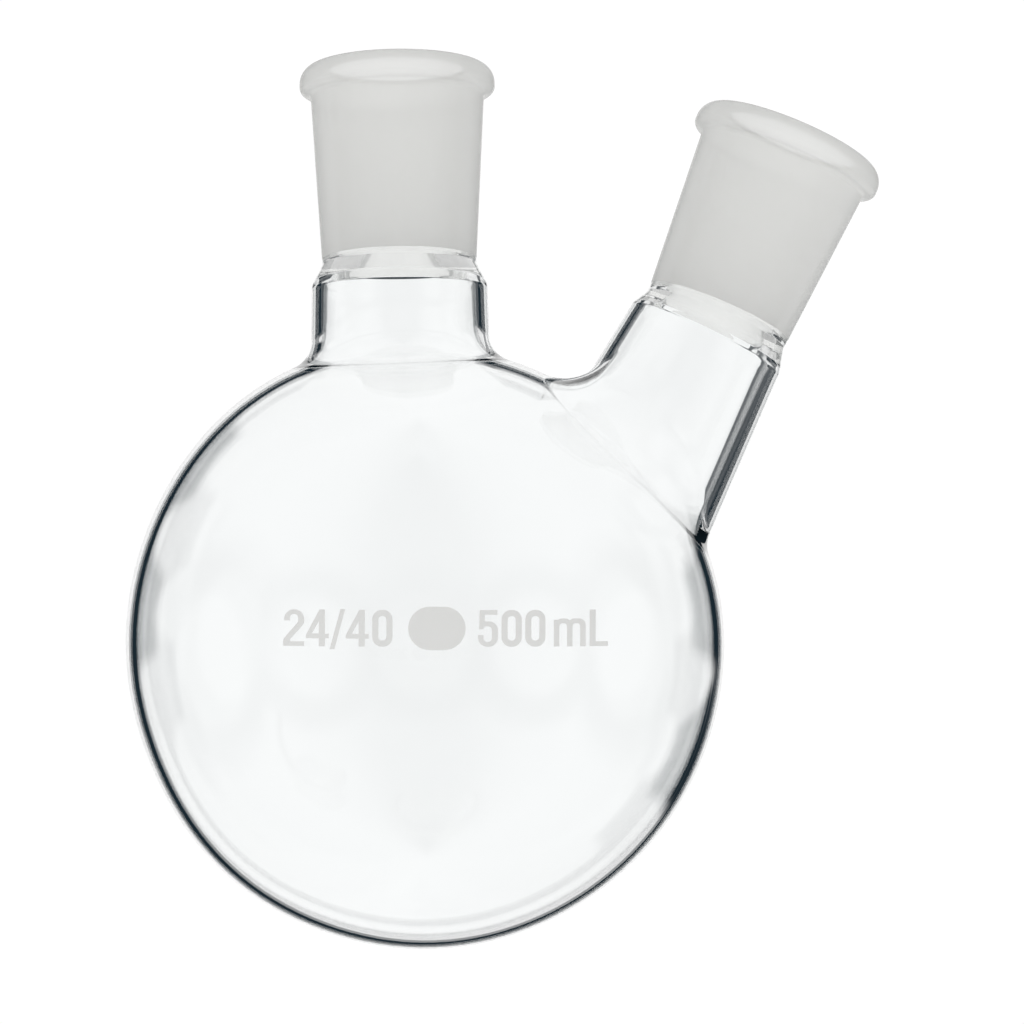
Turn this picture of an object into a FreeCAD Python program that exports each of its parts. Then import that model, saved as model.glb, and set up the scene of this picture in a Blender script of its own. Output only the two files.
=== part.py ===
import FreeCAD, Part
import math
import os

# Two-neck round bottom flask in borosilicate glass. Units are millimetres and degrees.
# The origin is the lowest point of the bulb. +Z runs up, parallel to the centre neck's axis,
# +X points from the centre neck towards the side neck, and the printed marks face -Y.

# Bulb
BULB_DIAMETER = 105.0
BULB_WALL = 2.1

# Standard-taper ground joint, the same on both necks. Depths run down from the rim.
BORE_AT_MOUTH = 24.0           # diameter at the large end of the ground zone
BORE_TAPER = 0.1               # loss of diameter for each millimetre of depth, 1 in 10
MOUTH_DEPTH = 1.0              # the clear rounded lip above the ground zone
GROUND_LENGTH = 34.1
GROUND_TO_SEAL = 0.5           # clear bore between the ground zone and the seal to the tube
SOCKET_DIAMETER = 30.9         # outside, just under the bead
CENTRE_SEAL_DIAMETER = 27.4    # outside, where the centre socket is sealed to its tube
SIDE_SEAL_DIAMETER = 26.2      # outside, where the side socket is sealed to its tube
BEAD_DIAMETER = 34.8
BEAD_HEIGHT = 5.5
BEAD_TOP_ROUND = 3.3
BEAD_FOOT_ROUND = 1.3
BEAD_HOLLOW_ROUND = 0.9        # where the bead's foot runs into the socket's wall
BEAD_FOOT_SLOPE = 0.6          # how far the bead's underside drops towards the wall

# Tubes between the sockets and the bulb
TUBE_WALL = 2.4
SHOULDER_DROP = 4.2            # depth over which the seal opens out to the tube's full width
SHOULDER_START = 0.5           # depth at which it starts to open
SHOULDER_ROUND = 2.6
CENTRE_TUBE_DIAMETER = 31.2    # at the shoulder
CENTRE_TUBE_SPREAD = 1.2       # half-angle by which the tube widens towards the bulb
SIDE_TUBE_DIAMETER = 28.8
SIDE_TUBE_SPREAD = 4.0
ROOT_ROUND = 4.0               # outside fillet where a tube meets the bulb
SEAL_STAND_OFF = 1.2           # the tube-to-bulb seals lie this far outside the bulb's surface

# Places of the necks
CENTRE_NECK_OFFSET = -3.6      # X of the centre neck's axis
CENTRE_NECK_RISE = 52.1        # height of its rim above the top of the bulb
SIDE_NECK_TILT = 23.9          # lean of the side socket away from +Z, towards +X
SIDE_NECK_OFFSET = 24.5        # distance from the bulb's centre to the side socket's axis
SIDE_NECK_RISE = 63.7          # along that axis, from the bulb's surface to the rim
SIDE_TUBE_BEND = 4.4           # extra lean of the side tube under its socket

# Printed marks: thin fired enamel on the bulb
ENAMEL = 0.12
MARK_LEAN = 7.5                # the marks look upright from this far below the horizon
MARK_TURN = 1.0                # clockwise turn of the marks about that line of sight
MARK_HEIGHT = 1.5              # of the baseline above the line of sight to the bulb's centre
LETTER_HEIGHT = 6.15
STROKE = 1.04
FINE_STROKE = 0.8
JOINT_SIZE_LEFT = -23.0        # X where the joint size starts
SPOT_LEFT = -1.95
SPOT_LENGTH = 9.6
SPOT_BREADTH = 7.25
CAPACITY_LEFT = 9.7
UNIT_LEFT = 22.4

BULB_RADIUS = BULB_DIAMETER / 2
BULB_CENTRE = FreeCAD.Vector(0, 0, BULB_RADIUS)
GROUND_END = MOUTH_DEPTH + GROUND_LENGTH
SEAL_DEPTH = GROUND_END + GROUND_TO_SEAL
X_AXIS = FreeCAD.Vector(1, 0, 0)
Y_AXIS = FreeCAD.Vector(0, 1, 0)
Z_AXIS = FreeCAD.Vector(0, 0, 1)


def leaning(angle):
    """Unit vector that leans by angle from +Z towards +X."""
    lean = math.radians(angle)
    return FreeCAD.Vector(math.sin(lean), 0, math.cos(lean))


def rounded_outline(corners, place):
    """Closed wire through (a, b, radius) corners, where place turns (a, b) into a point and 0 is a sharp corner."""
    points = [place(a, b) for a, b, _ in corners]
    arcs, starts, ends = [], [], []
    for index, (_, _, radius) in enumerate(corners):
        corner = points[index]
        back = (points[index - 1] - corner).normalize()
        onward = (points[(index + 1) % len(points)] - corner).normalize()
        half_turn = back.getAngle(onward) / 2
        run = radius / math.tan(half_turn)
        starts.append(corner + back * run)
        ends.append(corner + onward * run)
        if radius > 0:
            crown = corner + (back + onward).normalize() * (radius / math.sin(half_turn) - radius)
            arcs.append(Part.Arc(starts[-1], crown, ends[-1]).toShape())
        else:
            arcs.append(None)
    loop = []
    for index, arc in enumerate(arcs):
        if arc is not None:
            loop.append(arc)
        next_start = starts[(index + 1) % len(points)]
        if ends[index].distanceToPoint(next_start) > 1e-6:
            loop.append(Part.makeLine(ends[index], next_start))
    return Part.Wire(Part.__sortEdges__(loop))


def turned(corners, origin, axis):
    """Solid of revolution of a rounded outline given as (distance from the axis, height along it, rounding)."""
    def place(across, along):
        return FreeCAD.Vector(across, 0, along)

    solid = Part.Face(rounded_outline(corners, place)).revolve(FreeCAD.Vector(), Z_AXIS, 360)
    if solid.Volume < 0:
        solid.reverse()
    solid.Placement = FreeCAD.Placement(origin, FreeCAD.Rotation(Z_AXIS, axis))
    return solid


class Neck:
    """One neck: a ground socket on a tube that is sealed to the bulb."""

    def __init__(self, rim, socket_axis, tube_axis, seal_diameter, tube_diameter, spread):
        self.rim = rim
        self.socket_axis = socket_axis
        self.tube_axis = tube_axis
        self.seal_radius = seal_diameter / 2
        self.tube_radius = tube_diameter / 2
        self.spread = math.tan(math.radians(spread))
        self.seal = rim - socket_axis * SEAL_DEPTH
        # the tube runs on into the bulb, as far as the level of the bulb's centre
        self.reach = (self.seal - BULB_CENTRE).dot(tube_axis)

    def ground_end_radius(self):
        """Radius of the bore at the small end of the ground zone."""
        return (BORE_AT_MOUTH - BORE_TAPER * GROUND_LENGTH) / 2

    def socket(self):
        """The ground socket, from the rim down to its seal."""
        bead = BEAD_DIAMETER / 2
        mouth = BORE_AT_MOUTH / 2
        bore_end = self.ground_end_radius()
        corners = [
            (mouth + MOUTH_DEPTH, 0, 0),
            (bead, 0, BEAD_TOP_ROUND),
            (bead, BEAD_FOOT_SLOPE - BEAD_HEIGHT, BEAD_FOOT_ROUND),
            (SOCKET_DIAMETER / 2, -BEAD_HEIGHT, BEAD_HOLLOW_ROUND),
            (self.seal_radius, -SEAL_DEPTH, 0),
            (bore_end, -SEAL_DEPTH, 0),
            (bore_end, -GROUND_END, 0),
            (mouth, -MOUTH_DEPTH, 0),
        ]
        return turned(corners, self.rim, self.socket_axis)

    def plug(self, seal_radius, tube_radius):
        """The space inside a tube's wall or inside its bore, as a solid that ends within the bulb."""
        foot = tube_radius + self.spread * (self.reach - SHOULDER_DROP)
        lead_in = self.tube_radius / 4
        corners = [
            (0, lead_in, 0),
            (seal_radius, lead_in, 0),
            (seal_radius, -SHOULDER_START, SHOULDER_ROUND / 2),
            (tube_radius, -SHOULDER_DROP, SHOULDER_ROUND),
            (foot, -self.reach, 0),
            (0, -self.reach, 0),
        ]
        span = 4 * self.tube_radius
        above = Part.makeBox(span, span, span, FreeCAD.Vector(-span / 2, -span / 2, 0))
        above.Placement = FreeCAD.Placement(self.seal, FreeCAD.Rotation(Z_AXIS, self.socket_axis))
        return turned(corners, self.seal, self.tube_axis).cut(above)

    def outside(self):
        return self.plug(self.seal_radius, self.tube_radius)

    def bore(self):
        return self.plug(self.ground_end_radius(), self.tube_radius - TUBE_WALL)


def make_necks():
    """The centre neck and the side neck."""
    centre_rim = FreeCAD.Vector(CENTRE_NECK_OFFSET, 0, BULB_DIAMETER + CENTRE_NECK_RISE)
    side_axis = leaning(SIDE_NECK_TILT)
    across_side_axis = leaning(SIDE_NECK_TILT + 90)
    surface_reach = math.sqrt(BULB_RADIUS ** 2 - SIDE_NECK_OFFSET ** 2)
    side_rim = (BULB_CENTRE + across_side_axis * SIDE_NECK_OFFSET
                + side_axis * (surface_reach + SIDE_NECK_RISE))
    side_tube_axis = leaning(SIDE_NECK_TILT + SIDE_TUBE_BEND)
    centre = Neck(centre_rim, Z_AXIS, Z_AXIS, CENTRE_SEAL_DIAMETER, CENTRE_TUBE_DIAMETER, CENTRE_TUBE_SPREAD)
    side = Neck(side_rim, side_axis, side_tube_axis, SIDE_SEAL_DIAMETER, SIDE_TUBE_DIAMETER, SIDE_TUBE_SPREAD)
    return centre, side


def ball(radius):
    """A ball round the bulb's centre, with its poles and its seam turned away from the necks."""
    solid = Part.makeSphere(radius)
    turn = FreeCAD.Rotation(-Z_AXIS, -X_AXIS, Y_AXIS, "ZXY")
    solid.Placement = FreeCAD.Placement(BULB_CENTRE, turn)
    return solid


def blended(ball_radius, plugs, rounding):
    """A ball with tubes standing out of it, and a fillet of the given radius round each root."""
    body = ball(ball_radius)
    for plug in plugs:
        body = body.fuse(plug)
    roots = []
    for edge in body.removeSplitter().Edges:
        if edge.Degenerated or not edge.Closed:
            continue
        distances = [point.distanceToPoint(BULB_CENTRE) for point in edge.discretize(5)]
        if max(abs(distance - ball_radius) for distance in distances) < 0.01:
            roots.append(edge)
    return body.removeSplitter().makeFillet(rounding, roots)


def blown_glass(centre, side):
    """The bulb and the two tubes: one hollow shell, parted at the seals."""
    outer = blended(BULB_RADIUS, [centre.outside(), side.outside()], ROOT_ROUND)
    inner = blended(BULB_RADIUS - BULB_WALL, [centre.bore(), side.bore()], ROOT_ROUND + BULB_WALL)
    shell = outer.cut(inner)
    parting = ball(BULB_RADIUS + SEAL_STAND_OFF)
    bulb = shell.common(parting)
    tubes = sorted(shell.cut(parting).Solids, key=lambda tube: tube.CenterOfMass.x)
    return bulb.Solids[0], tubes[0], tubes[-1]


# The figures are drawn on a grid on which they are 65 units tall.
GRID_HEIGHT = 65
GRID_UNIT = LETTER_HEIGHT / GRID_HEIGHT


def figure_outlines():
    """Loops of (across, up, rounding) corners on the grid for each figure. Later loops are its holes."""
    tall = GRID_HEIGHT
    bold = STROKE / GRID_UNIT
    fine = FINE_STROKE / GRID_UNIT
    stem = 23
    bar = 14
    return {
        "0": [
            [(0, 0, 17), (36, 0, 17), (36, tall, 17), (0, tall, 17)],
            [(bold, bold, 6.5), (36 - bold, bold, 6.5), (36 - bold, tall - bold, 6.5),
             (bold, tall - bold, 6.5)],
        ],
        "2": [
            [(0, 0, 0), (38, 0, 0), (38, fine, 0), (12.5, fine, 0), (13, 12, 4), (38, 40, 13),
             (38, tall, 18), (1.5, tall, 18), (1.5, 45, 0), (12, 45, 0), (12, tall - fine, 7.5),
             (27, tall - fine, 7.5), (27, 43, 8), (0.5, 12.5, 6)],
        ],
        "4": [
            [(0, bar, 0), (stem, bar, 0), (stem, 0, 0), (stem + bold, 0, 0), (stem + bold, bar, 0),
             (41, bar, 0), (41, bar + fine, 0), (stem + bold, bar + fine, 0), (stem + bold, tall, 0),
             (24, tall, 0), (0, 20, 0)],
            [(11, bar + fine, 0), (stem, bar + fine, 0), (stem, 44, 0)],
        ],
        "5": [
            [(0, 21, 0), (0, 0, 17), (35.5, 0, 17), (35.5, 45, 16), (12, 45, 3), (12, tall - fine, 0),
             (34.5, tall - fine, 0), (34.5, tall, 0), (3, tall, 0), (2, 31, 0), (10, 31, 2), (11, 36, 3),
             (35.5 - bold, 36, 6.5), (35.5 - bold, fine, 7), (10, fine, 7), (10, 21, 0)],
        ],
        "/": [
            [(0, -5, 0), (8.5, -5, 0), (27.5, tall + 1, 0), (19, tall + 1, 0)],
        ],
        "L": [
            [(0, 0, 0), (33, 0, 0), (33, fine, 0), (bold, fine, 0), (bold, tall, 0), (0, tall, 0)],
        ],
        "m": [
            [(0, 0, 0), (10, 0, 0), (10, 41, 5.5), (23.5, 41, 5.5), (23.5, 0, 0), (33.5, 0, 0),
             (33.5, 41, 5.5), (47, 41, 5.5), (47, 0, 0), (57, 0, 0), (57, 49.5, 12), (33, 49.5, 4),
             (28.5, 46, 0), (24, 49.5, 4), (11, 49.5, 2), (9, 47.5, 0), (0, 47.5, 0)],
        ],
    }


def print_on_bulb(loops, left):
    """A thin skin of enamel on the bulb, in the shape of outline loops, that starts at X left."""
    def place(across, up):
        return FreeCAD.Vector(left + across, 0, BULB_RADIUS + MARK_HEIGHT + up)

    shape = Part.Face(rounded_outline(loops[0], place))
    for hole in loops[1:]:
        shape = shape.cut(Part.Face(rounded_outline(hole, place)))
    stamp = shape.extrude(FreeCAD.Vector(0, -BULB_DIAMETER, 0))
    stamp.rotate(BULB_CENTRE, Y_AXIS, MARK_TURN)
    stamp.rotate(BULB_CENTRE, X_AXIS, MARK_LEAN)
    skin = Part.makeSphere(BULB_RADIUS + ENAMEL, BULB_CENTRE).cut(Part.makeSphere(BULB_RADIUS, BULB_CENTRE))
    return stamp.common(skin).Solids


def lettering(text, left, gaps):
    """Printed figures side by side. gaps gives the clear grid units before each figure."""
    outlines = figure_outlines()
    solids = []
    pen = left
    for figure, gap in zip(text, gaps):
        loops = [[(a * GRID_UNIT, b * GRID_UNIT, rounding * GRID_UNIT) for a, b, rounding in loop]
                 for loop in outlines[figure]]
        pen += gap * GRID_UNIT
        solids += print_on_bulb(loops, pen)
        pen += max(across for across, _, _ in loops[0])
    return solids


def spot():
    """The blank oval spot, centred on the height of the figures."""
    low = (LETTER_HEIGHT - SPOT_BREADTH) / 2
    high = low + SPOT_BREADTH
    rounding = SPOT_BREADTH * 0.499
    outline = [(0, low, rounding), (SPOT_LENGTH, low, rounding), (SPOT_LENGTH, high, rounding),
               (0, high, rounding)]
    return print_on_bulb([outline], SPOT_LEFT)


def build():
    """All nodes of the flask, by name."""
    centre, side = make_necks()
    bulb, centre_tube, side_tube = blown_glass(centre, side)
    joint_size = lettering("24/40", JOINT_SIZE_LEFT, [0, 3, 1.5, 1, 6])
    capacity = lettering("500", CAPACITY_LEFT, [0, 6, 6]) + lettering("mL", UNIT_LEFT, [0, 7])
    return {
        "bulb": bulb,
        "centre_neck": centre_tube,
        "centre_socket": centre.socket(),
        "side_neck": side_tube,
        "side_socket": side.socket(),
        "mark_joint_size": Part.makeCompound(joint_size),
        "mark_spot": Part.makeCompound(spot()),
        "mark_capacity": Part.makeCompound(capacity),
    }


os.makedirs("parts", exist_ok=True)
for name, shape in build().items():
    print(name, "valid" if shape.isValid() else "NOT VALID", round(shape.Volume, 2), "mm3")
    shape.exportStep("parts/" + name + ".step")
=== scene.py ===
"""Looks of a two-neck round bottom flask in borosilicate glass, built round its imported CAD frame.

The blown bulb, the two drawn tubes and the two ground sockets are closed glass skins worked out as grids of
rings. Sizes are in millimetres until a mesh is made, which is in metres.
"""
import logging
import math
from dataclasses import dataclass
from enum import Enum

import bmesh
import bpy
import numpy as np

from mathutils import Matrix

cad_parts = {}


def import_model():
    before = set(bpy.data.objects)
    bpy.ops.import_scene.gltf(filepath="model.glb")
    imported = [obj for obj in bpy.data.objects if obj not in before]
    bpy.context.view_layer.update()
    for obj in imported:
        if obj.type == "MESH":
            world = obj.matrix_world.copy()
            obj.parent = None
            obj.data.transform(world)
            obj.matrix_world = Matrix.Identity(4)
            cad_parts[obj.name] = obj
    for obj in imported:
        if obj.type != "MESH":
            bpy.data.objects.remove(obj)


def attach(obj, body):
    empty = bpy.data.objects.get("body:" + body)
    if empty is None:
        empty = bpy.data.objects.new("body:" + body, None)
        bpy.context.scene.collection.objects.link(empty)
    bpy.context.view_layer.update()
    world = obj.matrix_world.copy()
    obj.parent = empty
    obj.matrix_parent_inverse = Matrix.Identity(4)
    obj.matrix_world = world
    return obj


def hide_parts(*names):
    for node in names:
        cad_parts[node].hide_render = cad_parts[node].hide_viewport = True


MM = 0.001
AROUND = 384
LOG = logging.getLogger("flask")


def unit(vectors: np.ndarray) -> np.ndarray:
    """Vectors scaled to length one."""
    return vectors / np.linalg.norm(vectors, axis=-1, keepdims=True)


def dot(a: np.ndarray, b: np.ndarray) -> np.ndarray:
    """Row by row dot product, kept as a column."""
    return np.sum(a * b, axis=-1, keepdims=True)


def smooth(t: np.ndarray) -> np.ndarray:
    """Smoothstep of t, held between 0 and 1."""
    t = np.clip(t, 0.0, 1.0)
    return t * t * (3.0 - 2.0 * t)


# ---------------------------------------------------------------- materials

def linear(hex_colour: str) -> tuple:
    """Linear RGBA of an sRGB hex colour such as "d8d8d7"."""
    values = [int(hex_colour[i:i + 2], 16) / 255.0 for i in (0, 2, 4)]
    return tuple(v / 12.92 if v <= 0.04045 else ((v + 0.055) / 1.055) ** 2.4 for v in values) + (1.0,)


def add_node(tree: bpy.types.NodeTree, kind: str, settings: dict | None = None, inputs: dict | None = None):
    """Add one node.

    Args:
        tree: the node tree.
        kind: the node's type name.
        settings: properties of the node itself.
        inputs: input name or number to a constant, or to an output socket to link.

    Returns:
        The new node.
    """
    node = tree.nodes.new(kind)
    for key, value in (settings or {}).items():
        setattr(node, key, value)
    for key, value in (inputs or {}).items():
        if isinstance(value, bpy.types.NodeSocket):
            tree.links.new(value, node.inputs[key])
        else:
            node.inputs[key].default_value = value
    return node


def make_material(name: str, shade) -> bpy.types.Material:
    """A material whose surface is the shader node that shade(tree) returns."""
    material = bpy.data.materials.new(name)
    material.use_nodes = True
    tree = material.node_tree
    tree.nodes.clear()
    add_node(tree, "ShaderNodeOutputMaterial", inputs={"Surface": shade(tree).outputs[0]})
    return material


def mixed(tree: bpy.types.NodeTree, share: float, first, second):
    """Two shader nodes mixed, with the given share of the second."""
    return add_node(tree, "ShaderNodeMixShader", inputs={0: share, 1: first.outputs[0], 2: second.outputs[0]})


def see_through(tree: bpy.types.NodeTree):
    """A shader that lets everything past."""
    return add_node(tree, "ShaderNodeBsdfTransparent", inputs={"Color": (1.0, 1.0, 1.0, 1.0)})


@dataclass(frozen=True)
class ClearBorosilicate:
    """Borosilicate glass, blown and fire polished: colourless, with a skin as smooth as a liquid's."""

    tint: str = "fcfdfd"
    ior: float = 1.473

    def shade(self, tree: bpy.types.NodeTree):
        """The shader."""
        return add_node(tree, "ShaderNodeBsdfPrincipled", inputs={
            "Base Color": linear(self.tint), "Roughness": 0.0, "IOR": self.ior, "Transmission Weight": 1.0})


@dataclass(frozen=True)
class GroundBorosilicate:
    """The same glass, ground with grit to a matt cone: light spreads through it and it looks pale grey."""

    tint: str = "f8f8f6"
    back_share: float = 0.4
    clear_share: float = 0.82

    def shade(self, tree: bpy.types.NodeTree):
        """The shader."""
        through = add_node(tree, "ShaderNodeBsdfTranslucent", inputs={"Color": linear(self.tint)})
        back = add_node(tree, "ShaderNodeBsdfDiffuse", inputs={"Color": linear(self.tint)})
        return mixed(tree, self.clear_share, mixed(tree, self.back_share, through, back), see_through(tree))


@dataclass(frozen=True)
class ClearOverGround:
    """The outside of a ground socket, drawn matt under a clear coat: on the real socket the clear wall works as a lens,
    so that the matt bore fills its whole width.
    """

    tint: str = "d0d0ce"
    roughness: float = 0.5
    ior: float = 1.473
    through_share: float = 0.65
    clear_share: float = 0.35

    def shade(self, tree: bpy.types.NodeTree):
        """The shader."""
        skin = add_node(tree, "ShaderNodeBsdfPrincipled", inputs={
            "Base Color": linear(self.tint), "Roughness": self.roughness, "Specular IOR Level": 0.2,
            "Coat Weight": 1.0, "Coat Roughness": 0.03, "Coat IOR": self.ior})
        through = add_node(tree, "ShaderNodeBsdfTranslucent", inputs={"Color": linear(self.tint)})
        return mixed(tree, self.clear_share, mixed(tree, self.through_share, skin, through), see_through(tree))


@dataclass(frozen=True)
class MattCoat:
    """Something opaque and matt, such as a fired enamel or paper: no highlight of its own."""

    colour: str
    roughness: float

    def shade(self, tree: bpy.types.NodeTree):
        """The shader."""
        return add_node(tree, "ShaderNodeBsdfPrincipled", inputs={
            "Base Color": linear(self.colour), "Roughness": self.roughness})


class Skin(Enum):
    """Which finish a band of a glass piece has."""

    CLEAR = 0
    GROUND = 1
    SEAL = 2
    OVER_GROUND = 3


class Palette:
    """Every material of the flask, made once."""

    def __init__(self) -> None:
        """Build the materials."""
        # Two glasses melted into one at a seal can't be told apart from inside the glass.
        self.glass = {
            Skin.CLEAR: make_material("borosilicate_glass_fire_polished", ClearBorosilicate().shade),
            Skin.GROUND: make_material("borosilicate_glass_ground", GroundBorosilicate().shade),
            Skin.SEAL: make_material("borosilicate_glass_fused_seal", see_through),
            Skin.OVER_GROUND: make_material("borosilicate_glass_clear_over_ground", ClearOverGround().shade),
        }
        self.enamel = make_material("grey_enamel_fired", MattCoat("d6d6d4", 0.7).shade)
        self.paper = make_material("pale_paper_floor", MattCoat("f7f7f7", 0.9).shade)


# ---------------------------------------------------------------- glass skins

@dataclass
class Strip:
    """Rings of points with their outward normals: both arrays are (rings, AROUND, 3)."""

    points: np.ndarray
    normals: np.ndarray
    skin: Skin = Skin.CLEAR

    def reversed(self) -> "Strip":
        """The same rings in the other order."""
        return Strip(self.points[::-1], self.normals[::-1], self.skin)


class Piece:
    """A closed glass piece: strips of rings joined end to end, and the last ring joined to the first."""

    def __init__(self, name: str) -> None:
        """Start an empty piece of the given name."""
        self.name = name
        self.points: list[np.ndarray] = []
        self.normals: list[np.ndarray] = []
        self.skins: list[int] = []

    def add(self, strip: Strip, join: Skin = Skin.CLEAR) -> None:
        """Add a strip.

        Args:
            strip: the rings. A first ring that repeats the last one so far is left out.
            join: finish of the band between the last ring so far and this strip's first ring, if they differ.
        """
        points, normals = strip.points, strip.normals
        if self.points:
            if np.abs(self.points[-1] - points[0]).max() < 1e-5:
                points, normals = points[1:], normals[1:]
                self.skins.append(strip.skin.value)
            else:
                self.skins.append(join.value)
        self.points += list(points)
        self.normals += list(normals)
        self.skins += [strip.skin.value] * (len(points) - 1)

    def build(self, glass: dict, close: Skin) -> bpy.types.Object:
        """Make the object.

        Args:
            glass: the material of each skin.
            close: finish of the band from the last ring back to the first.

        Returns:
            The object, with its custom normals set.
        """
        rings = np.array(self.points)
        count, around = rings.shape[:2]
        bands = np.array(self.skins + [close.value])
        ring, column = np.meshgrid(np.arange(count), np.arange(around), indexing="ij")
        after, beside = (ring + 1) % count, (column + 1) % around
        faces = np.stack([ring * around + column, ring * around + beside,
                          after * around + beside, after * around + column], axis=-1).reshape(-1, 4)
        vertices = rings.reshape(-1, 3)
        a, b, c, d = (vertices[faces[:, i]] for i in range(4))
        volume = np.sum(np.cross(c - a, d - b) * (a + b + c + d))
        if volume < 0:
            faces = faces[:, ::-1]
        mesh = mesh_from(self.name, vertices, faces)
        slots = np.repeat(bands, around)
        used = sorted(set(slots.tolist()))
        for value in used:
            mesh.materials.append(glass[Skin(value)])
        mesh.polygons.foreach_set("material_index", np.searchsorted(used, slots).astype(np.int32))
        normals = unit(np.array(self.normals).reshape(-1, 3))
        mesh.normals_split_custom_set_from_vertices(normals.tolist())
        LOG.info("%s: %d faces", self.name, len(faces))
        return place_object(self.name, mesh)


def mesh_from(name: str, vertices: np.ndarray, faces: np.ndarray) -> bpy.types.Mesh:
    """A smooth mesh of quads from points in millimetres.

    Args:
        name: the mesh's name.
        vertices: (n, 3) points in millimetres.
        faces: (m, 4) corners.

    Returns:
        The mesh, in metres.
    """
    mesh = bpy.data.meshes.new(name)
    mesh.vertices.add(len(vertices))
    mesh.vertices.foreach_set("co", (vertices * MM).astype(np.float32).ravel())
    mesh.loops.add(faces.size)
    mesh.loops.foreach_set("vertex_index", faces.astype(np.int32).ravel())
    mesh.polygons.add(len(faces))
    mesh.polygons.foreach_set("loop_start", np.arange(0, faces.size, faces.shape[1], dtype=np.int32))
    mesh.update(calc_edges=True)
    mesh.validate()
    mesh.polygons.foreach_set("use_smooth", np.ones(len(faces), dtype=bool))
    return mesh


def place_object(name: str, data: bpy.types.ID) -> bpy.types.Object:
    """An object at the origin that shows a mesh, or holds a curve, a lamp or a camera."""
    thing = bpy.data.objects.new(name, data)
    bpy.context.scene.collection.objects.link(thing)
    return thing


def rounded_profile(corners: list, step: float = 0.9, turn: float = 6.0) -> tuple:
    """Points and normals along an open profile with rounded corners.

    Each corner (radius, height, rounding) is cut back to where an arc of its rounding touches both legs; the
    arc has a point every few degrees and each straight run a point every step. The normal is on the left of
    the direction of travel.

    Args:
        corners: the corners in order; the first and last are ends and aren't rounded.
        step: longest straight run between points, in millimetres.
        turn: largest turn of the arc between points, in degrees.

    Returns:
        (n, 2) points and (n, 2) normals.
    """
    points, normals = [], []
    here = np.array(corners[0][:2], float)
    for index in range(1, len(corners)):
        corner = np.array(corners[index][:2], float)
        ahead = unit(corner - np.array(corners[index - 1][:2], float))
        left = np.array([-ahead[1], ahead[0]])
        last = index == len(corners) - 1
        cut = 0.0
        if not last:
            leave = unit(np.array(corners[index + 1][:2], float) - corner)
            bend = math.atan2(ahead[0] * leave[1] - ahead[1] * leave[0], float(ahead @ leave))
            cut = corners[index][2] * abs(math.tan(bend / 2))
        end = corner - ahead * cut
        run = np.linalg.norm(end - here)
        parts = max(1, math.ceil(run / step))
        share = np.linspace(0, 1, parts + 1)[:, None]
        points.append(here + (end - here) * share)
        normals.append(np.repeat(left[None], parts + 1, axis=0))
        if not last:
            pieces = max(2, math.ceil(abs(math.degrees(bend)) / turn))
            angles = np.linspace(0, bend, pieces + 1)[1:-1]
            side = math.copysign(corners[index][2], bend)
            centre = end + left * side
            spin = np.stack([left[0] * np.cos(angles) - left[1] * np.sin(angles),
                             left[0] * np.sin(angles) + left[1] * np.cos(angles)], axis=-1)
            points.append(centre - spin * side)
            normals.append(spin)
            here = corner + leave * cut
    points = np.concatenate(points)
    keep = np.r_[True, np.linalg.norm(np.diff(points, axis=0), axis=1) > 1e-4]
    return points[keep], np.concatenate(normals)[keep]


@dataclass
class Swelling:
    """A soft rise of the blown skin: how far its direction leans from +Z towards +X, its height and its spread."""

    lean: float
    height: float
    spread: float

    def __post_init__(self) -> None:
        """Work out its direction and sharpness."""
        lean = math.radians(self.lean)
        self.towards = np.array([math.sin(lean), 0.0, math.cos(lean)])
        self.sharpness = 1.0 / math.radians(self.spread) ** 2

    def rise(self, rays: np.ndarray) -> np.ndarray:
        """Its height along unit rays: height * e^(sharpness (cos - 1))."""
        return self.height * np.exp(self.sharpness * (dot(rays, self.towards) - 1.0))


@dataclass
class Bulb:
    """The blown ball. Blown glass is never quite round, so soft swellings are added to the ball's radius."""

    centre: np.ndarray
    radius: float
    swellings: tuple
    wall: float = 1.85
    rings: int = 100

    def reach(self, rays: np.ndarray, inset: float) -> np.ndarray:
        """Distance from the centre to the skin along unit rays."""
        return self.radius - inset + sum(swelling.rise(rays) for swelling in self.swellings)

    def skin(self, rays: np.ndarray, inset: float = 0.0) -> np.ndarray:
        """Points of the skin along unit rays."""
        return self.centre + rays * self.reach(rays, inset)

    def normal(self, rays: np.ndarray, inset: float = 0.0) -> np.ndarray:
        """Outward normals: the ray less the slope of the swellings."""
        slope = 0.0
        for swelling in self.swellings:
            across = swelling.towards - dot(rays, swelling.towards) * rays
            slope = slope + swelling.rise(rays) * swelling.sharpness * across
        return unit(rays * self.reach(rays, inset) - slope)

    def foot(self, points: np.ndarray, inset: float) -> tuple:
        """The rays to the skin's nearest points to some points outside it, and the distances."""
        rays = unit(points - self.centre)
        for _ in range(6):
            off = np.linalg.norm(points - self.skin(rays, inset), axis=-1, keepdims=True)
            rays = unit(points - self.normal(rays, inset) * off - self.centre)
        return rays, dot(points - self.skin(rays, inset), self.normal(rays, inset))


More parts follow.
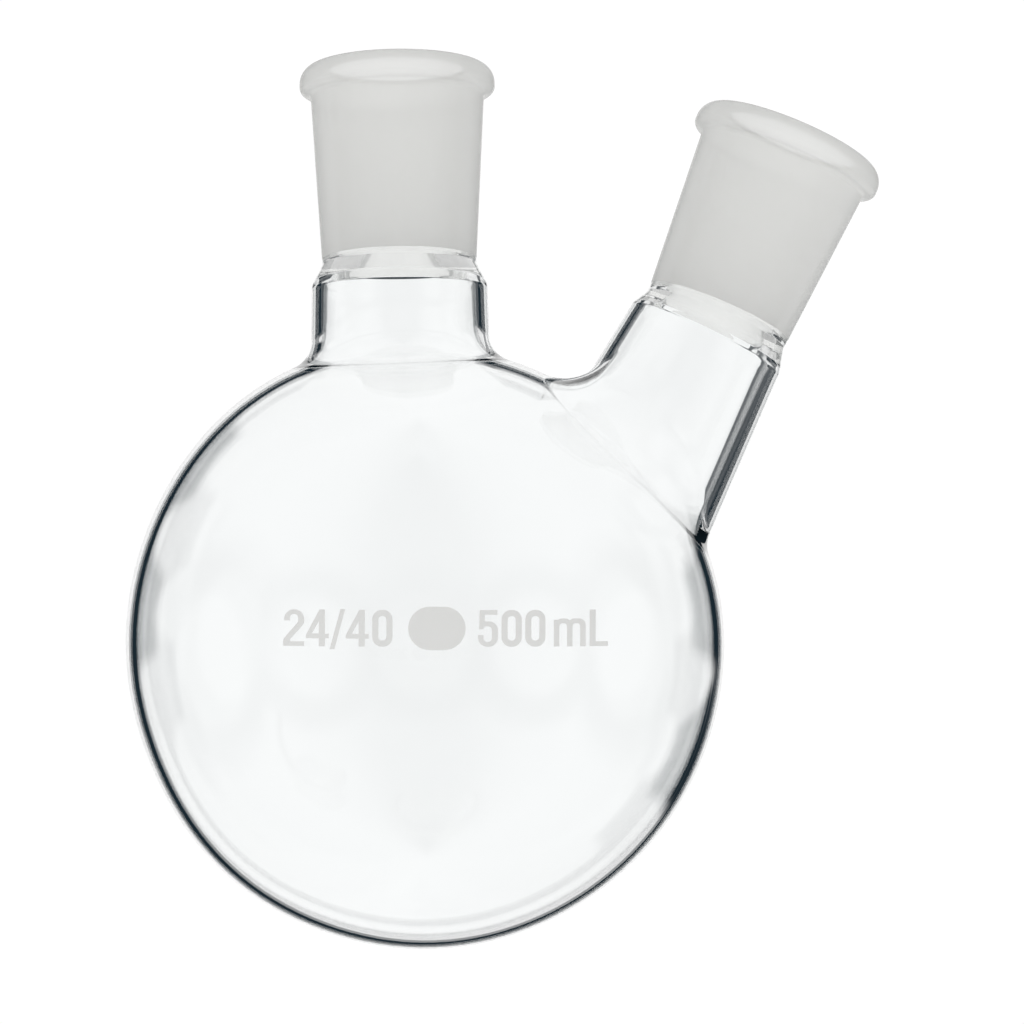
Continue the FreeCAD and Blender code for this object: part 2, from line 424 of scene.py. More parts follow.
@dataclass
class Cone:
    """A straight round tube that widens downwards: its points are origin - axis * s + (radius + s * spread) * e."""

    origin: np.ndarray
    lean: float
    radius: float
    spread: float

    def frame(self, around: np.ndarray) -> tuple:
        """Unit vectors of the axis and, for each angle, away from it."""
        lean = math.radians(self.lean)
        axis = np.array([math.sin(lean), 0.0, math.cos(lean)])
        across = np.array([math.cos(lean), 0.0, -math.sin(lean)])
        away = np.cos(around)[..., None] * across + np.sin(around)[..., None] * np.array([0.0, 1.0, 0.0])
        return axis, away

    def skin(self, along: np.ndarray, around: np.ndarray) -> np.ndarray:
        """Points at distances along the axis, downwards from the origin."""
        axis, away = self.frame(around)
        return self.origin - axis * along[..., None] + away * (self.radius + along * self.spread)[..., None]

    def normal(self, around: np.ndarray) -> np.ndarray:
        """Normals away from the axis."""
        axis, away = self.frame(around)
        return unit(away + axis * self.spread)


@dataclass
class Root:
    """Where a tube runs into the bulb: a ball of the fillet's radius rolls along both of them.

    For each angle round the tube, the ball's centre lies off the tube's skin and off the bulb's skin by the
    ball's radius, and the fillet is the short arc of the ball between the two places where it touches.
    """

    cone: Cone
    bulb: Bulb
    inset: float
    rounding: float
    front_rounding: float

    def ball(self, around: np.ndarray) -> np.ndarray:
        """The ball's radius: it swells as it rolls from the sides of the flask to its front and back."""
        return self.rounding + (self.front_rounding - self.rounding) * np.sin(around) ** 2

    def roll(self, around: np.ndarray) -> tuple:
        """Settle the ball at each angle by secant steps.

        Args:
            around: angles round the tube.

        Returns:
            Distance down the tube, ball centres, tube normals and rays to where the ball touches the bulb.
        """
        normal = self.cone.normal(around)
        ball = self.ball(around)

        def gap(along: np.ndarray) -> np.ndarray:
            """How much further than its radius the ball is from the bulb."""
            centre = self.cone.skin(along, around) + normal * ball[:, None]
            return self.bulb.foot(centre, self.inset)[1][..., 0] - ball

        before = np.zeros_like(around)
        along = np.full_like(around, 2.0)
        gap_before = gap(before)
        for _ in range(12):
            gap_now = gap(along)
            change = gap_now - gap_before
            change = np.where(np.abs(change) < 1e-12, 1e-12, change)
            onward = along - gap_now * (along - before) / change
            before, gap_before, along = along, gap_now, onward
        centre = self.cone.skin(along, around) + normal * ball[:, None]
        return along, centre, normal, self.bulb.foot(centre, self.inset)[0]

    def fillet(self, around: np.ndarray, shares: np.ndarray) -> tuple:
        """Points and normals of the fillet, from the tube at share 0 to the bulb at share 1.

        Args:
            around: angles round the tube.
            shares: how far along the arc each ring is.

        Returns:
            Points and normals, (rings, angles, 3). The normals point at the ball's centre.
        """
        _, centre, start, rays = self.roll(around)
        finish = self.bulb.normal(rays, self.inset)
        angle = np.arccos(np.clip(dot(start, finish), -1, 1))
        share = shares[:, None, None]
        turn = (np.sin((1 - share) * angle) * start + np.sin(share * angle) * finish) / np.sin(angle)
        return centre - turn * self.ball(around)[:, None], turn


@dataclass
class Socket:
    """A ground joint's socket: a tapered wall with a rounded bead at the rim and a matt ground bore."""

    name: str
    rim: np.ndarray
    lean: float
    seal_radius: float
    ground_end: float
    wall: float = 15.45
    bead: float = 17.4
    bead_height: float = 5.5
    foot_slope: float = 0.6
    hollow_round: float = 0.9
    foot_round: float = 1.3
    top_round: float = 3.3
    depth: float = 35.6
    mouth: float = 12.0
    bore_end: float = 10.295
    lip: float = 1.0

    def strip(self, corners: list, around: np.ndarray, skin: Skin = Skin.CLEAR, step: float = 1.2) -> Strip:
        """Rings from a profile of (radius, height from the rim, rounding) corners, turned about the axis."""
        profile, normals = rounded_profile(corners, step)
        axis, away = Cone(self.rim, self.lean, 0.0, 0.0).frame(around)
        points = self.rim + away * profile[:, None, :1] + axis * profile[:, None, 1:]
        return Strip(points, -away * normals[:, None, :1] - axis * normals[:, None, 1:], skin)

    def build(self, around: np.ndarray, glass: dict) -> bpy.types.Object:
        """The closed socket.

        Args:
            around: angles of the columns of points.
            glass: the material of each skin.

        Returns:
            The object.
        """
        piece = Piece(self.name)
        taper = (self.mouth - self.bore_end) / (self.depth - self.lip)
        share = (self.depth - self.ground_end) / (self.depth - self.bead_height)
        edge = self.seal_radius + (self.wall - self.seal_radius) * share
        piece.add(self.strip([(self.seal_radius, -self.depth, 0), (edge, -self.ground_end, 0)], around))
        piece.add(self.strip([
            (edge, -self.ground_end, 0), (self.wall, -self.bead_height, self.hollow_round),
            (self.bead, self.foot_slope - self.bead_height, self.foot_round), (self.bead, 0.0, self.top_round),
            (self.mouth, 0.0, self.lip), (self.mouth, -self.lip, 0)], around, Skin.OVER_GROUND, 1.5))
        end_radius = self.mouth - taper * (self.ground_end - self.lip)
        piece.add(self.strip([(self.mouth, -self.lip, 0), (end_radius, -self.ground_end, 0)], around, Skin.GROUND, 2.0))
        piece.add(self.strip([(end_radius, -self.ground_end, 0), (self.bore_end, -self.depth, 0)], around))
        thing = piece.build(glass, Skin.SEAL)
        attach(thing, "root")
        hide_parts(self.name)
        return thing


@dataclass
class Tube:
    """A drawn tube from a socket's seal to the bulb, with a shoulder under the seal and a fillet at the root."""

    name: str
    seal: np.ndarray
    socket_lean: float
    lean: float
    seal_radius: float
    radius: float
    spread: float
    wall: float
    drift: float = 0.0
    shoulder_start: float = 0.5
    shoulder: float = 4.2
    hollow_round: float = 1.2
    shoulder_round: float = 2.6
    bore_end: float = 10.295
    root_round: float = 5.8
    front_round: float = 24.0
    start: float = 7.0

    def cone(self, inner: bool) -> Cone:
        """The straight skin below the shoulder, outside or inside."""
        across = Cone(self.seal, self.lean, 0.0, 0.0).frame(np.zeros(1))[1][0]
        spread = math.tan(math.radians(self.spread))
        radius = self.radius - self.shoulder * spread - (self.wall if inner else 0.0)
        return Cone(self.seal + across * (self.drift if inner else 0.0), self.lean, radius, spread)

    def root(self, bulb: Bulb, inner: bool) -> Root:
        """The root's fillet, outside or inside."""
        inset = bulb.wall if inner else 0.0
        return Root(self.cone(inner), bulb, inset, self.root_round + inset, self.front_round + inset)

    def neck(self, around: np.ndarray, inner: bool) -> Strip:
        """Rings of the shoulder, which also turn from the socket's lean to the tube's."""
        cone = self.cone(inner)
        top = self.bore_end if inner else self.seal_radius
        low = cone.radius + self.start * cone.spread
        waist = cone.radius + self.shoulder * cone.spread
        profile, normals = rounded_profile([
            (top, 0.0, 0), (top, -self.shoulder_start, self.hollow_round),
            (waist, -self.shoulder, self.shoulder_round), (low, -self.start, 0)], 0.5)
        points, outward = [], []
        for (radius, height), (sideways, upwards) in zip(profile, normals):
            share = float(smooth(np.array(-height / self.start)))
            centre = self.seal + (cone.origin - self.seal) * share
            lean = self.socket_lean + (self.lean - self.socket_lean) * share
            axis, away = Cone(centre, lean, 0.0, 0.0).frame(around)
            straight = Cone(centre, self.lean, 0.0, 0.0).frame(around)[0]
            points.append(centre + straight * height + away * radius)
            outward.append(away * sideways + axis * upwards)
        return Strip(np.array(points), np.array(outward))

    def straight(self, bulb: Bulb, around: np.ndarray, inner: bool) -> Strip:
        """Rings from the shoulder to the start of the root's fillet."""
        cone, root = self.cone(inner), self.root(bulb, inner)
        finish = root.roll(around)[0]
        share = np.linspace(0.0, 1.0, 16)[:, None]
        along = self.start + (finish - self.start) * share
        points = np.array([cone.skin(row, around) for row in along])
        return Strip(points, np.repeat(cone.normal(around)[None], len(points), axis=0))

    def collar(self, bulb: Bulb, around: np.ndarray, inner: bool, shares: tuple) -> Strip:
        """Rings of the fillet between two shares of its arc."""
        return Strip(*self.root(bulb, inner).fillet(around, np.linspace(*shares, 9)))

    def build(self, bulb: Bulb, around: np.ndarray, glass: dict) -> bpy.types.Object:
        """The closed tube, as far as its seal to the bulb half way down the fillet."""
        piece = Piece(self.name)
        for inner in (False, True):
            strips = [self.neck(around, inner), self.straight(bulb, around, inner),
                      self.collar(bulb, around, inner, (0.0, 0.5))]
            for strip in strips:
                if inner:
                    strip.normals = -strip.normals
            if inner:
                strips = [strip.reversed() for strip in reversed(strips)]
            piece.add(strips[0], Skin.SEAL)
            for strip in strips[1:]:
                piece.add(strip)
        thing = piece.build(glass, Skin.SEAL)
        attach(thing, "root")
        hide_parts(self.name)
        return thing


class Ball:
    """The bulb's own glass: the ball between the two roots.

    The ball is drawn flat by stereographic projection from its lowest point. The circles through two poles, one
    inside each root, then run from one root to the other without crossing, and the angle of each circle says
    where it starts on both of them.
    """

    def __init__(self, bulb: Bulb, tubes: list[Tube]) -> None:
        """Find the poles and the angles at which the lines leave each root.

        Args:
            bulb: the ball's shape.
            tubes: the centre tube and the side tube.
        """
        self.bulb, self.tubes = bulb, tubes
        holes = []
        for tube in tubes:
            flat = self.flatten(self.rim(tube, np.array([0.0, math.pi]), False)).real
            holes.append(((flat[0] + flat[1]) / 2, abs(flat[1] - flat[0]) / 2))
        (c1, r1), (c2, r2) = holes
        total = (c1 ** 2 - r1 ** 2 - c2 ** 2 + r2 ** 2) / (c1 - c2)
        product = r1 ** 2 - c1 ** 2 + c1 * total
        spread = math.sqrt(total ** 2 / 4 - product)
        self.poles = (total / 2 - math.copysign(spread, c2 - c1), total / 2 + math.copysign(spread, c2 - c1))
        self.columns = self.choose_columns()

    def rim(self, tube: Tube, around: np.ndarray, inner: bool) -> np.ndarray:
        """Rays from the ball's centre to where a root's fillet ends."""
        return tube.root(self.bulb, inner).roll(around)[3]

    @staticmethod
    def flatten(rays: np.ndarray) -> np.ndarray:
        """Stereographic projection of unit rays to complex numbers."""
        return (rays[..., 0] + 1j * rays[..., 1]) / (1 + rays[..., 2])

    @staticmethod
    def unflatten(flat: np.ndarray) -> np.ndarray:
        """Unit rays of complex numbers."""
        size = np.abs(flat) ** 2
        return np.stack([2 * flat.real, 2 * flat.imag, 1 - size], axis=-1) / (1 + size)[..., None]

    def bipolar(self, rays: np.ndarray) -> np.ndarray:
        """Complex ratio of the distances to the two poles: its angle says which line a ray is on."""
        flat = self.flatten(rays)
        return (flat - self.poles[0]) / (flat - self.poles[1])

    def from_bipolar(self, ratio: np.ndarray) -> np.ndarray:
        """Rays of such ratios."""
        return self.unflatten((self.poles[0] - self.poles[1] * ratio) / (1 - ratio))

    def choose_columns(self) -> list[np.ndarray]:
        """Angles round each tube at which its lines start, evenly spread half by angle and half by distance."""
        theta = np.linspace(0, 2 * np.pi, 4001) + 1e-4
        middle = self.from_bipolar(np.exp(1j * theta))
        steps = np.linalg.norm(np.diff(middle, axis=0), axis=1)
        distance = np.r_[0, np.cumsum(steps)] / steps.sum()
        mixed = 0.5 * (theta - theta[0]) / (2 * np.pi) + 0.5 * distance
        self.theta = np.interp((np.arange(AROUND) + 0.5) / AROUND, mixed, theta)
        self.middle = self.from_bipolar(np.exp(1j * self.theta))
        columns = []
        for tube in self.tubes:
            around = np.linspace(0, 2 * np.pi, 2001)
            angle = np.unwrap(np.angle(self.bipolar(self.rim(tube, around, False))))
            rising = angle[-1] > angle[0]
            if not rising:
                around, angle = around[::-1], angle[::-1]
            wanted = angle[0] + np.mod(self.theta - angle[0], 2 * np.pi)
            columns.append(np.interp(wanted, angle, around))
        return columns

    def face(self, inner: bool) -> Strip:
        """Rings of the ball from the centre root to the side root: arcs of circles in equal steps."""
        inset = self.bulb.wall if inner else 0.0
        first, last = (self.rim(tube, around, inner) for tube, around in zip(self.tubes, self.columns))
        to_middle, to_last = self.middle - first, last - first
        normal = np.cross(to_middle, to_last)
        centre = first + np.cross(normal, to_middle * dot(to_last, to_last) * -1 + to_last * dot(to_middle, to_middle)
                                  ) * -1 / (2 * dot(normal, normal))
        arm = first - centre
        radius = np.linalg.norm(arm, axis=1, keepdims=True)
        out = arm / radius
        side = unit(np.cross(unit(normal), out))
        sweep = np.mod(np.arctan2(dot(last - centre, side), dot(last - centre, out)), 2 * np.pi)
        share = np.linspace(0, 1, self.bulb.rings)[:, None, None]
        rays = unit(centre + radius * (np.cos(share * sweep) * out + np.sin(share * sweep) * side))
        sign = -1.0 if inner else 1.0
        return Strip(self.bulb.skin(rays, inset), sign * self.bulb.normal(rays, inset))

    def build(self, glass: dict) -> bpy.types.Object:
        """The closed bulb."""
        piece = Piece("bulb")
        (near, far), (near_columns, far_columns) = self.tubes, self.columns
        for inner in (False, True):
            first = near.collar(self.bulb, near_columns, inner, (0.5, 1.0))
            last = far.collar(self.bulb, far_columns, inner, (1.0, 0.5))
            for strip in (first, last):
                if inner:
                    strip.normals = -strip.normals
            strips = [first, self.face(inner), last]
            if inner:
                strips = [strip.reversed() for strip in reversed(strips)]
            piece.add(strips[0], Skin.SEAL)
            for strip in strips[1:]:
                piece.add(strip)
        thing = piece.build(glass, Skin.SEAL)
        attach(thing, "root")
        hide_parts("bulb")
        return thing


# ---------------------------------------------------------------- printed marks

@dataclass
class Marks:
    """The printed figures. Each is drawn flat from rounded outlines, then laid on the bulb as a thin film."""

    bulb: Bulb
    letter: float = 6.15
    bold: float = 1.04
    fine: float = 0.8
    lean: float = 7.5
    turn: float = 1.0
    height: float = 1.5
    grid: float = 65.0
    spot_left: float = -1.95
    spot_length: float = 9.6
    spot_breadth: float = 7.25
    face_gap: float = 0.07
    back_gap: float = 0.015
    cell: float = 1.0

    def outlines(self) -> dict:
        """Loops of (across, up, rounding) corners on a grid 65 units tall; later loops are holes."""
        tall = self.grid
        bold, fine = self.bold * tall / self.letter, self.fine * tall / self.letter
        stem, bar = 23, 14
        return {
            "0": [[(0, 0, 17), (36, 0, 17), (36, tall, 17), (0, tall, 17)],
                  [(bold, bold, 6.5), (36 - bold, bold, 6.5), (36 - bold, tall - bold, 6.5),
                   (bold, tall - bold, 6.5)]],
            "2": [[(0, 0, 0), (38, 0, 0), (38, fine, 0), (12.5, fine, 0), (13, 12, 4), (38, 40, 13),
                   (38, tall, 18), (1.5, tall, 18), (1.5, 45, 0), (12, 45, 0), (12, tall - fine, 7.5),
                   (27, tall - fine, 7.5), (27, 43, 8), (0.5, 12.5, 6)]],
            "4": [[(0, bar, 0), (stem, bar, 0), (stem, 0, 0), (stem + bold, 0, 0), (stem + bold, bar, 0),
                   (41, bar, 0), (41, bar + fine, 0), (stem + bold, bar + fine, 0), (stem + bold, tall, 0),
                   (24, tall, 0), (0, 20, 0)],
                  [(11, bar + fine, 0), (stem, bar + fine, 0), (stem, 44, 0)]],
            "5": [[(0, 21, 0), (0, 0, 17), (35.5, 0, 17), (35.5, 45, 16), (12, 45, 3), (12, tall - fine, 0),
                   (34.5, tall - fine, 0), (34.5, tall, 0), (3, tall, 0), (2, 31, 0), (10, 31, 2), (11, 36, 3),
                   (35.5 - bold, 36, 6.5), (35.5 - bold, fine, 7), (10, fine, 7), (10, 21, 0)]],
            "/": [[(0, -5, 0), (8.5, -5, 0), (27.5, tall + 1, 0), (19, tall + 1, 0)]],
            "L": [[(0, 0, 0), (33, 0, 0), (33, fine, 0), (bold, fine, 0), (bold, tall, 0), (0, tall, 0)]],
            "m": [[(0, 0, 0), (10, 0, 0), (10, 41, 5.5), (23.5, 41, 5.5), (23.5, 0, 0), (33.5, 0, 0),
                   (33.5, 41, 5.5), (47, 41, 5.5), (47, 0, 0), (57, 0, 0), (57, 49.5, 12), (33, 49.5, 4),
                   (28.5, 46, 0), (24, 49.5, 4), (11, 49.5, 2), (9, 47.5, 0), (0, 47.5, 0)]],
        }

    def text(self, figures: str, left: float, gaps: list) -> list:
        """Loops in millimetres of figures side by side, with the gap in grid units before each."""
        size, outlines, pen, loops = self.letter / self.grid, self.outlines(), left, []
        for figure, gap in zip(figures, gaps):
            pen += gap * size
            for loop in outlines[figure]:
                loops.append([(pen + a * size, b * size, r * size) for a, b, r in loop])
            pen += max(a for a, _, _ in outlines[figure][0]) * size
        return loops

    def spot(self) -> list:
        """The blank oval."""
        low, rounding = (self.letter - self.spot_breadth) / 2, self.spot_breadth * 0.499
        left, right, high = self.spot_left, self.spot_left + self.spot_length, low + self.spot_breadth
        return [[(left, low, rounding), (right, low, rounding), (right, high, rounding), (left, high, rounding)]]

    @staticmethod
    def closed_loop(corners: list) -> np.ndarray:
        """Points of a closed outline with rounded corners: the open profile from the middle of its longest side."""
        points = np.array(corners, float)
        sides = np.linalg.norm(np.roll(points[:, :2], -1, axis=0) - points[:, :2], axis=1)
        first = int(np.argmax(sides))
        turned = np.roll(points, -(first + 1), axis=0)
        middle = (turned[0, :2] + turned[-1, :2]) / 2
        ends = [(middle[0], middle[1], 0.0)]
        loop, _ = rounded_profile(ends + [tuple(p) for p in turned] + ends, 50.0, 9.0)
        return loop[:-1]

    def film(self, loops: list) -> bmesh.types.BMesh:
        """A flat film of the loops, cut into small cells so that it can be bent.

        Args:
            loops: closed outlines in millimetres.

        Returns:
            The film, (x, y) across and up in millimetres.
        """
        curve = bpy.data.curves.new("film", "CURVE")
        curve.dimensions, curve.fill_mode = "2D", "BOTH"
        for loop in loops:
            points = self.closed_loop(loop)
            spline = curve.splines.new("POLY")
            spline.points.add(len(points) - 1)
            flat = np.c_[points, np.zeros(len(points)), np.ones(len(points))]
            spline.points.foreach_set("co", flat.ravel())
            spline.use_cyclic_u = True
        holder = place_object("film", curve)
        graph = bpy.context.evaluated_depsgraph_get()
        mesh = holder.evaluated_get(graph).to_mesh()
        work = bmesh.new()
        work.from_mesh(mesh)
        holder.evaluated_get(graph).to_mesh_clear()
        bpy.data.objects.remove(holder)
        bpy.data.curves.remove(curve)
        bmesh.ops.remove_doubles(work, verts=work.verts, dist=1e-4)
        for axis in (0, 1):
            values = [vertex.co[axis] for vertex in work.verts]
            for cut in np.arange(math.floor(min(values)) + self.cell / 2, max(values), self.cell):
                place, normal = [0.0, 0.0, 0.0], [0.0, 0.0, 0.0]
                place[axis], normal[axis] = cut, 1.0
                bmesh.ops.bisect_plane(work, geom=work.verts[:] + work.edges[:] + work.faces[:],
                                       plane_co=place, plane_no=normal)
        for face in work.faces:
            if face.normal.z < 0:
                face.normal_flip()
        return work

    def bend(self, flat: np.ndarray, gap: float) -> np.ndarray:
        """Lay flat points on the bulb.

        The sheet is turned a little, leans back to face a viewer who looks up from below, and each point is then
        pushed along that viewer's line of sight on to the ball, whose radius is larger by the gap.
        """
        turn, lean = math.radians(self.turn), math.radians(self.lean)
        across = flat[:, 0] * math.cos(turn) + (flat[:, 1] + self.height) * math.sin(turn)
        upward = (flat[:, 1] + self.height) * math.cos(turn) - flat[:, 0] * math.sin(turn)
        radius = self.bulb.radius + gap
        depth = -np.sqrt(radius ** 2 - across ** 2 - upward ** 2)
        y = depth * math.cos(lean) - upward * math.sin(lean)
        z = depth * math.sin(lean) + upward * math.cos(lean)
        rays = unit(np.stack([across, y, z], axis=-1))
        return self.bulb.centre + rays * (self.bulb.reach(rays, 0.0) + gap)

    def build(self, name: str, loops: list, enamel: bpy.types.Material) -> bpy.types.Object:
        """One printed mark, as a closed film with a back, a face and an edge.

        Args:
            name: the CAD node that it stands for.
            loops: outlines in millimetres.
            enamel: the material.

        Returns:
            The object.
        """
        film = self.film(loops)
        film.verts.index_update()
        flat = np.array([vertex.co[:2] for vertex in film.verts])
        faces = [[vertex.index for vertex in face.verts] for face in film.faces]
        rim = [(edge.verts[0].index, edge.verts[1].index, edge.link_loops[0].vert.index)
               for edge in film.edges if len(edge.link_loops) == 1]
        film.free()
        count = len(flat)
        top, bottom = self.bend(flat, self.face_gap), self.bend(flat, self.back_gap)
        walls = []
        for a, b, start in rim:
            end = b if start == a else a
            walls.append([end, start, start + count, end + count])
        everything = faces + [[index + count for index in reversed(face)] for face in faces] + walls
        mesh = bpy.data.meshes.new(name)
        mesh.from_pydata((np.r_[top, bottom] * MM).tolist(), [], everything)
        mesh.update()
        mesh.materials.append(enamel)
        thing = place_object(name, mesh)
        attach(thing, "root")
        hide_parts(name)
        LOG.info("%s: %d faces", name, len(everything))
        return thing


# ---------------------------------------------------------------- studio

@dataclass
class Studio:
    """White studio seen all round, with dark gaps round its light panels that draw the glass's edges.

    Directions are (turn from +Y, height above the horizon) in degrees, and camera sizes are in millimetres.
    """

    strength: float = 1.02
    dark: str = "1d2a32"
    front_watts: float = 6.0
    ceiling_strength: float = 1.0
    back_watts: float = 45.0
    box_width: float = 1.6
    other_step: float = 45.0
    other_height: float = -3.0
    panel_middle: tuple = (-1.4, 10.5)
    ring_middle: tuple = (-4.0, 9.5)
    centre_neck_sight: tuple = (-0.9, 9.5)
    side_neck_sight: tuple = (2.0, 8.5)
    side_neck_lean: float = 28.3
    front_reach: float = 58.0
    floor_size: float = 30000.0
    floor_level: float = -250.0
    camera_distance: float = 1000.0
    camera_lift: float = 7.5
    camera_roll: float = 0.85
    camera_aim: tuple = (15.4, 24.0)
    view_width: float = 180.28

    def build_world(self) -> None:
        """The world: brightness by direction.

        In front stands a white panel in a dark ring, with dark flags where the walls of each neck bend the line of
        sight. Elsewhere each direction is measured from the nearest of eight weaker panels. Ramps over these angles
        give the brightness, and a last one makes the studio dimmer towards -Y.
        """
        world = bpy.data.worlds.new("studio")
        world.use_nodes = True
        tree = world.node_tree
        tree.nodes.clear()

        def maths(operation: str, *values):
            """A maths node's output."""
            return add_node(tree, "ShaderNodeMath", {"operation": operation}, dict(enumerate(values))).outputs[0]

        ray = add_node(tree, "ShaderNodeTexCoord").outputs["Generated"]
        x, y, z = add_node(tree, "ShaderNodeSeparateXYZ", inputs={0: ray}).outputs
        azimuth, height = maths("ARCTAN2", x, y), maths("ARCSINE", z)

        def over_angle(angle, stops: list):
            """Ramp over an angle in radians, with the stops in degrees."""
            return self.ramp(tree, maths("DIVIDE", angle, math.pi), [(a / 180.0, v) for a, v in stops])

        def blend(kind: str, first, second):
            """Two colours mixed in full."""
            return add_node(tree, "ShaderNodeMix", {"data_type": "RGBA", "blend_type": kind}, {
                0: 1.0, "A": first, "B": second}).outputs["Result"]

        def around(turned, middle: float, stops: list):
            """Ramp over the angle from a panel's middle, given the turn from it and the degrees of its height."""
            level = maths("COSINE", maths("SUBTRACT", height, math.radians(middle)))
            return over_angle(maths("ARCCOSINE", maths("MULTIPLY", level, maths("COSINE", turned))), stops)

        def past(middle: tuple):
            """Turn from a middle's own turn."""
            return maths("SUBTRACT", azimuth, math.radians(middle[0]))

        def flags(middle: tuple, lean: float):
            """Two dark strips, left and right of a neck's line of sight and square to its lean."""
            over, up = past(middle), maths("SUBTRACT", height, math.radians(middle[1]))
            c, s = math.cos(math.radians(lean)), math.sin(math.radians(lean))
            out = maths("SUBTRACT", maths("MULTIPLY", over, c), maths("MULTIPLY", up, s))
            across = maths("ADD", maths("MULTIPLY", over, s), maths("MULTIPLY", up, c))
            return blend("LIGHTEN", over_angle(maths("ABSOLUTE", out), self.flag_reach()),
                         over_angle(maths("ABSOLUTE", across), self.flag_width()))

        panel = around(past(self.panel_middle), self.panel_middle[1], self.front_panel())
        beyond = around(past(self.ring_middle), self.ring_middle[1], self.beyond_ring())
        both = blend("MULTIPLY", flags(self.centre_neck_sight, 0.0),
                     flags(self.side_neck_sight, self.side_neck_lean))
        front = blend("LIGHTEN", panel, blend("MULTIPLY", beyond, both))
        half_step = math.radians(self.other_step / 2)
        turn = maths("ABSOLUTE", azimuth)
        weak = around(maths("WRAP", azimuth, half_step, -half_step), self.other_height, self.other_rings())
        panels = add_node(tree, "ShaderNodeMix", {"data_type": "RGBA"}, {
            0: maths("LESS_THAN", turn, math.radians(self.front_reach)), "A": weak, "B": front}).outputs["Result"]
        shade = blend("MULTIPLY", panels, over_angle(turn, self.towards_back()))
        background = add_node(tree, "ShaderNodeBackground", inputs={"Color": shade, "Strength": self.strength})
        output = add_node(tree, "ShaderNodeOutputWorld")
        tree.links.new(background.outputs[0], output.inputs[0])
        bpy.context.scene.world = world

    def front_panel(self) -> list:
        """Share of white by angle from the front panel's middle, in degrees."""
        return [(0.0, 1.0), (19.5, 1.0), (20.3, 0.0), (180.0, 0.0)]

    def beyond_ring(self) -> list:
        """Share of white by angle from the middle of the dark ring round the front panel, in degrees."""
        return [(0.0, 0.0), (30.6, 0.0), (31.4, 0.95), (180.0, 0.95)]

    def flag_reach(self) -> list:
        """Share of white along a dark flag by angle from its neck's line of sight, in degrees."""
        return [(0.0, 1.0), (24.0, 1.0), (25.5, 0.0), (54.0, 0.0), (56.0, 0.95), (180.0, 0.95)]

    def flag_width(self) -> list:
        """Share of white across a dark flag by angle from its middle, in degrees."""
        return [(0.0, 0.0), (5.5, 0.0), (8.0, 0.95), (180.0, 0.95)]

    def other_rings(self) -> list:
        """Share of white by angle from any other panel's middle, in degrees."""
        return [(0.0, 0.96), (16.0, 0.96), (20.5, 0.6), (26.0, 0.6), (33.0, 0.94), (180.0, 0.94)]

    def towards_back(self) -> list:
        """Share of white by turn from +Y, in degrees."""
        return [(0.0, 1.0), (56.0, 1.0), (66.0, 0.88), (110.0, 0.88), (140.0, 0.7), (160.0, 0.45), (180.0, 0.42)]

    def ramp(self, tree: bpy.types.NodeTree, value, stops: list):
        """A colour ramp from the dark to white.

        Args:
            tree: the node tree.
            value: the socket that drives it.
            stops: position and share of white at each stop.

        Returns:
            The colour output.
        """
        node = add_node(tree, "ShaderNodeValToRGB", inputs={0: value})
        dark = np.array(linear(self.dark))
        elements = node.color_ramp.elements
        shades = [tuple(dark + (1.0 - dark) * share) for _, share in stops]
        elements[0].color, elements[1].color = shades[0], shades[-1]
        for (position, _), shade in list(zip(stops, shades))[1:-1]:
            elements.new(position).color = shade
        return node.outputs[0]

    def build_lamps(self) -> None:
        """Large soft lamps in front, behind and overhead, which light only what isn't clear."""
        self.soft_box("soft_box_front", (-0.25, -1.6, 0.7), (68.0, 0.0, -9.0), self.front_watts)
        self.soft_box("soft_box_back", (0.0, 1.6, 0.1), (-90.0, 0.0, 0.0), self.back_watts)
        data = bpy.data.lights.new("soft_ceiling", "SUN")
        data.energy, data.angle = self.ceiling_strength, math.radians(90.0)
        self.hide_from_clear(place_object("soft_ceiling", data))

    def soft_box(self, name: str, place: tuple, turn: tuple, watts: float) -> None:
        """One square soft lamp.

        Args:
            name: the lamp's name.
            place: its middle, in metres.
            turn: its rotation, in degrees.
            watts: its power.
        """
        data = bpy.data.lights.new(name, "AREA")
        data.shape, data.size, data.size_y, data.energy = "RECTANGLE", self.box_width, self.box_width, watts
        lamp = place_object(name, data)
        lamp.location = place
        lamp.rotation_euler = [math.radians(angle) for angle in turn]
        self.hide_from_clear(lamp)

    @staticmethod
    def hide_from_clear(thing: bpy.types.Object) -> None:
        """Keep a lamp out of what is seen in or through the clear glass."""
        thing.visible_glossy = False
        thing.visible_transmission = False
        thing.visible_camera = False

    def build_floor(self, paper: bpy.types.Material) -> None:
        """A pale floor well below the flask, which floats above it: a real flask of this kind is held up by its neck,
        but nothing here holds it.
        """
        mesh = bpy.data.meshes.new("floor")
        size, level = self.floor_size * MM, self.floor_level * MM
        mesh.from_pydata([(-size, -size, level), (size, -size, level), (size, size, level), (-size, size, level)],
                         [], [(0, 1, 2, 3)])
        mesh.materials.append(paper)
        floor = place_object("floor", mesh)
        floor.visible_transmission = False
        floor.visible_glossy = False

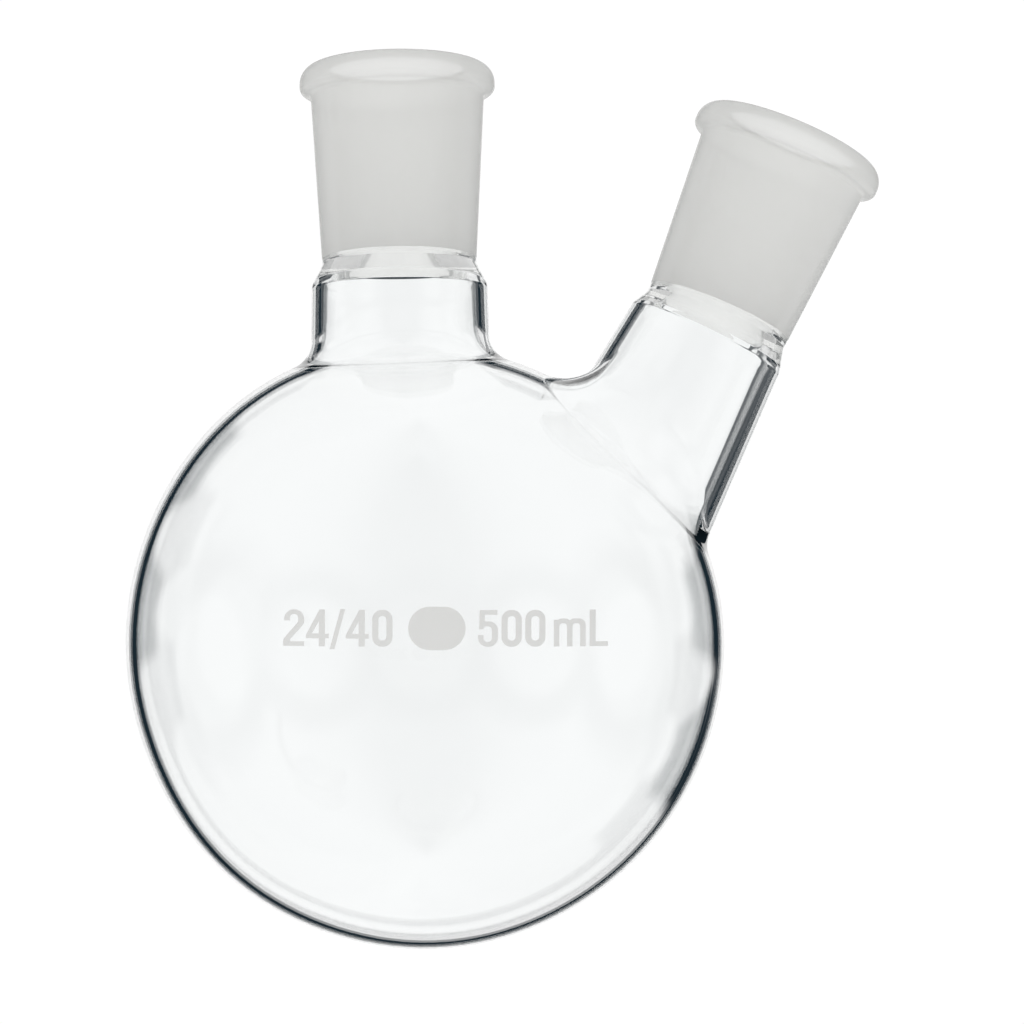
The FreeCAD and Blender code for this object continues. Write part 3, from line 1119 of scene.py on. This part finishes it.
    def build_camera(self, bulb_centre: np.ndarray) -> None:
        """The camera: a metre away, looking up a little, and rolled by less than a degree."""
        distance, lift, roll = self.camera_distance, math.radians(self.camera_lift), math.radians(self.camera_roll)
        forward = np.array([0.0, math.cos(lift), math.sin(lift)])
        right, above = np.array([1.0, 0.0, 0.0]), np.array([0.0, -math.sin(lift), math.cos(lift)])
        right, above = right * math.cos(roll) - above * math.sin(roll), above * math.cos(roll) + right * math.sin(roll)
        target = bulb_centre + right * self.camera_aim[0] + above * self.camera_aim[1]
        data = bpy.data.cameras.new("camera")
        data.sensor_width, data.lens = 36.0, 36.0 * distance / self.view_width
        data.clip_start, data.clip_end = 0.01, 100.0
        camera = place_object("camera", data)
        matrix = np.eye(4)
        matrix[:3, 0], matrix[:3, 1], matrix[:3, 2] = right, above, -forward
        matrix[:3, 3] = (target - forward * distance) * MM
        camera.matrix_world = Matrix(matrix.tolist())
        bpy.context.scene.camera = camera


def main() -> None:
    """Build the flask and its studio."""
    logging.basicConfig(level=logging.INFO)
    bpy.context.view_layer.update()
    bpy.context.scene.view_settings.view_transform = "Standard"
    palette = Palette()
    bulb = Bulb(np.array([0.0, 0.0, 52.5]), 52.45, (
        Swelling(-27.0, 2.15, 25.0), Swelling(83.0, 0.35, 14.0), Swelling(180.0, 0.35, 16.0),
        Swelling(-142.0, 0.3, 14.0), Swelling(-110.0, -0.3, 12.0)))
    centre_seal, side_seal = np.array([-3.6, 0.0, 121.5]), np.array([52.5955, 0.0, 110.7159])
    centre = Tube("centre_neck", centre_seal, socket_lean=0.0, lean=0.0, seal_radius=13.7, radius=15.6,
                  spread=1.2, wall=2.05, front_round=15.5)
    side = Tube("side_neck", side_seal, socket_lean=23.9, lean=28.3, seal_radius=13.1, radius=14.4,
                spread=4.0, wall=2.1, drift=-0.25)
    ball = Ball(bulb, [centre, side])
    near, far = ball.columns
    ball.build(palette.glass)
    centre.build(bulb, near, palette.glass)
    side.build(bulb, far, palette.glass)
    centre_rim, side_rim = np.array([-3.6, 0.0, 157.1]), np.array([67.0186, 0.0, 143.2633])
    Socket("centre_socket", centre_rim, lean=0.0, seal_radius=13.7, ground_end=35.1).build(near, palette.glass)
    Socket("side_socket", side_rim, lean=23.9, seal_radius=13.1, ground_end=34.6).build(far, palette.glass)
    marks = Marks(bulb)
    joint_size = marks.text("24/40", -23.0, [0, 3, 1.5, 1, 6])
    capacity = marks.text("500", 9.7, [0, 6, 6]) + marks.text("mL", 22.4, [0, 7])
    for name, loops in (("mark_joint_size", joint_size), ("mark_spot", marks.spot()), ("mark_capacity", capacity)):
        marks.build(name, loops, palette.enamel)
    studio = Studio()
    studio.build_world()
    studio.build_lamps()
    studio.build_floor(palette.paper)
    studio.build_camera(bulb.centre)


if __name__ == "__main__":
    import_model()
    main()
